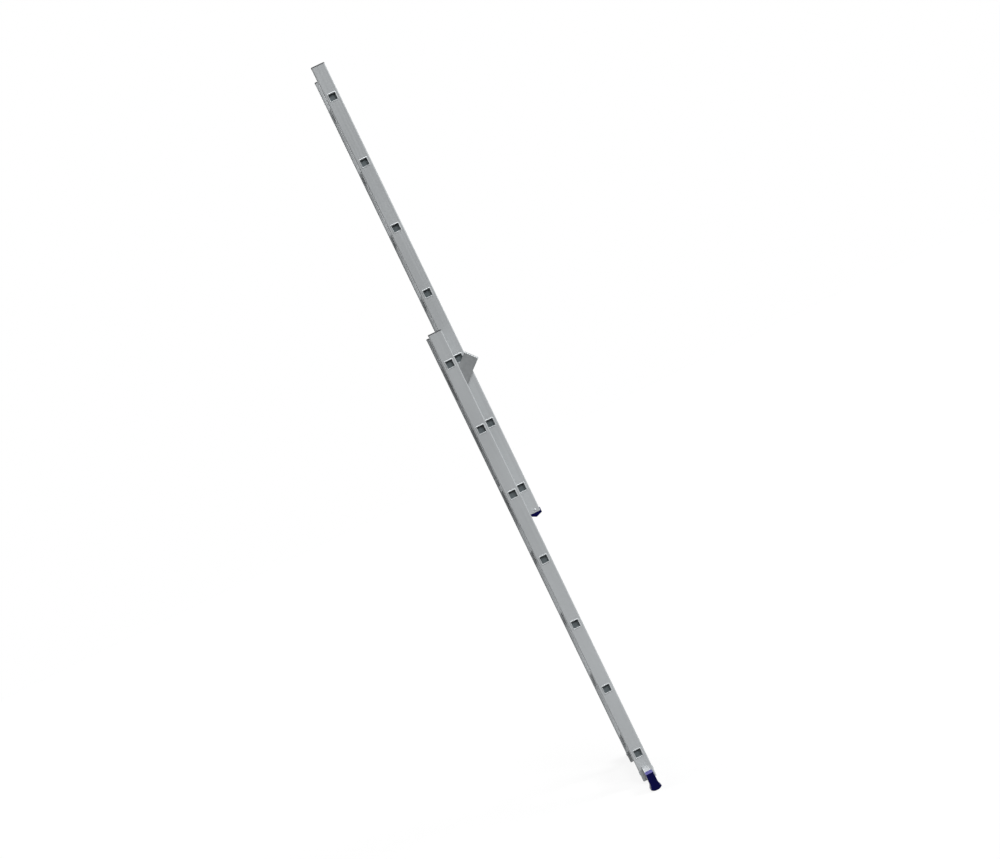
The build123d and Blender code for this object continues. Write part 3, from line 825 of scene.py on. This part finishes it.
def make_bolts_and_nuts():
    """Bolts through the stiles and the crossbar, with domed socket heads and low nuts."""
    low, high = node_box("crossbar_bolts")
    stile_low, stile_high = node_box("base_stile_right")
    bolt_x = (stile_low.x + stile_high.x) / 2
    bolt_z = (low.z + high.z) / 2
    reach = high.y - stile_low.y
    shank = ((BOLT_RADIUS, 0.0), (BOLT_RADIUS, BOLT_POINT - reach), (BOLT_RADIUS - BOLT_POINT, -reach))
    bolts = bmesh.new()
    nuts = bmesh.new()
    for side in SIDES.values():
        front = (side * bolt_x, stile_low.y, bolt_z)
        back = (side * bolt_x, stile_high.y, bolt_z)
        add_turned(bolts, BOLT_RECESS + BOLT_HEAD + shank, front, (0, -1, 0))
        add_turned(nuts, NUT, back, (0, 1, 0))
    finish_fasteners("crossbar_bolts_domed", bolts, "base", "crossbar_bolts")
    finish_fasteners("crossbar_nuts_low", nuts, "base", "crossbar_nuts")


# Studio
def matt_grey(name, grey):
    """A plain material for what stands round the object."""
    material, tree, shader = shader_of(name)
    shader.inputs["Base Color"].default_value = (grey, grey, grey, 1)
    shader.inputs["Roughness"].default_value = 1.0
    shader.inputs["Specular IOR Level"].default_value = 0.0
    return material, tree, shader


def add_level(tree, carried, shown):
    """A strength for rays that carry light, and another for rays that show the surroundings."""
    path = tree.nodes.new("ShaderNodeLightPath")
    seen = path.outputs["Is Camera Ray"]
    for ray in ("Is Glossy Ray", "Is Transmission Ray"):
        either = tree.nodes.new("ShaderNodeMath")
        either.operation = "MAXIMUM"
        tree.links.new(seen, either.inputs[0])
        tree.links.new(path.outputs[ray], either.inputs[1])
        seen = either.outputs["Value"]
    level = tree.nodes.new("ShaderNodeMapRange")
    level.inputs["To Min"].default_value = carried
    level.inputs["To Max"].default_value = shown
    tree.links.new(seen, level.inputs["Value"])
    return level


def make_floor():
    """A pale floor that shows nearly white and keeps the object's shadow."""
    bm = bmesh.new()
    bmesh.ops.create_grid(bm, x_segments=1, y_segments=1, size=FLOOR_SIZE / 2)
    floor = link_mesh("floor", bm)
    material, tree, shader = matt_grey("pale_floor", FLOOR_COLOUR)
    shader.inputs["Emission Color"].default_value = (1, 1, 1, 1)
    level = add_level(tree, carried=0.0, shown=FLOOR_GLOW)
    tree.links.new(level.outputs["Result"], shader.inputs["Emission Strength"])
    floor.data.materials.append(material)


def make_sky():
    """White surroundings, whose light is stronger from the climbing side than from the wall side."""
    world = bpy.data.worlds.new("studio")
    scene.world = world
    world.use_nodes = True
    tree = world.node_tree
    background = tree.nodes["Background"]
    background.inputs["Color"].default_value = (1, 1, 1, 1)
    place = tree.nodes.new("ShaderNodeTexCoord")
    axes = tree.nodes.new("ShaderNodeSeparateXYZ")
    tree.links.new(place.outputs["Generated"], axes.inputs["Vector"])
    light = tree.nodes.new("ShaderNodeMapRange")
    light.inputs["From Min"].default_value = -1.0
    light.inputs["To Min"].default_value = SKY_FRONT
    light.inputs["To Max"].default_value = SKY_BACK
    tree.links.new(axes.outputs["Y"], light.inputs["Value"])
    level = add_level(tree, carried=0.0, shown=1.0)
    tree.links.new(light.outputs["Result"], level.inputs["To Min"])
    tree.links.new(level.outputs["Result"], background.inputs["Strength"])


def make_panels():
    """Dark panels behind the camera and on the wall side, which the metal mirrors and no view shows."""
    bm = bmesh.new()
    foot = [bm.verts.new((x, y, 0)) for x, y in PANEL_LINE]
    top = [bm.verts.new((x, y, PANEL_HEIGHT)) for x, y in PANEL_LINE]
    for step in range(len(PANEL_LINE) - 1):
        bm.faces.new((foot[step], foot[step + 1], top[step + 1], top[step]))
    panels = link_mesh("dark_panels", bm)
    panels.visible_camera = False
    panels.visible_shadow = False
    material, _, _ = matt_grey("dark_panel", PANEL_COLOUR)
    panels.data.materials.append(material)


def make_lamps():
    """Broad sun lamps for soft light."""
    for name, (direction, strength, spread) in LAMPS.items():
        data = bpy.data.lights.new(name, "SUN")
        data.energy = strength
        data.angle = radians(spread)
        lamp = bpy.data.objects.new(name, data)
        scene.collection.objects.link(lamp)
        lamp.rotation_mode = "QUATERNION"
        lamp.rotation_quaternion = Vector(direction).to_track_quat("Z", "Y")


def make_camera():
    """The camera of the photograph, rolled so that the upright ladder leans in the picture."""
    data = bpy.data.cameras.new("camera")
    data.lens = CAMERA_LENS
    data.sensor_width = CAMERA_SENSOR
    camera = bpy.data.objects.new("camera", data)
    scene.collection.objects.link(camera)
    back = (CAMERA_PLACE - CAMERA_TARGET).normalized()
    level_right = Vector((0, 0, 1)).cross(back).normalized()
    level_up = back.cross(level_right)
    right_axis = level_right * cos(CAMERA_ROLL) - level_up * sin(CAMERA_ROLL)
    up_axis = level_up * cos(CAMERA_ROLL) + level_right * sin(CAMERA_ROLL)
    turn = Matrix((right_axis, up_axis, back)).transposed()
    camera.matrix_world = Matrix.Translation(CAMERA_PLACE) @ turn.to_4x4()
    scene.camera = camera


# The whole ladder, then the studio round it
for section in SECTIONS:
    for number in range(1, RUNG_COUNT + 1):
        make_rung(section, number)
    make_rung_plugs(section)
    for side_name in SIDES:
        make_top_plug(section, side_name)
for side_name in SIDES:
    make_crossbar_foot(side_name)
    make_fly_foot(side_name)
    bracket = f"guide_bracket_{side_name}"
    make_broken_edges(bracket, "base", "bracket_steel", EDGE_BREAK["guide_bracket"])
    lock = f"rung_lock_{side_name}"
    make_broken_edges(lock, lock, "lock_aluminium", EDGE_BREAK["rung_lock"])
make_broken_edges("crossbar", "base", "crossbar_aluminium", EDGE_BREAK["crossbar"])
make_bracket_rivets()
make_fly_foot_rivets()
make_lock_pins()
make_bolts_and_nuts()
make_floor()
make_sky()
make_panels()
make_lamps()
make_camera()
scene.view_settings.view_transform = "Standard"
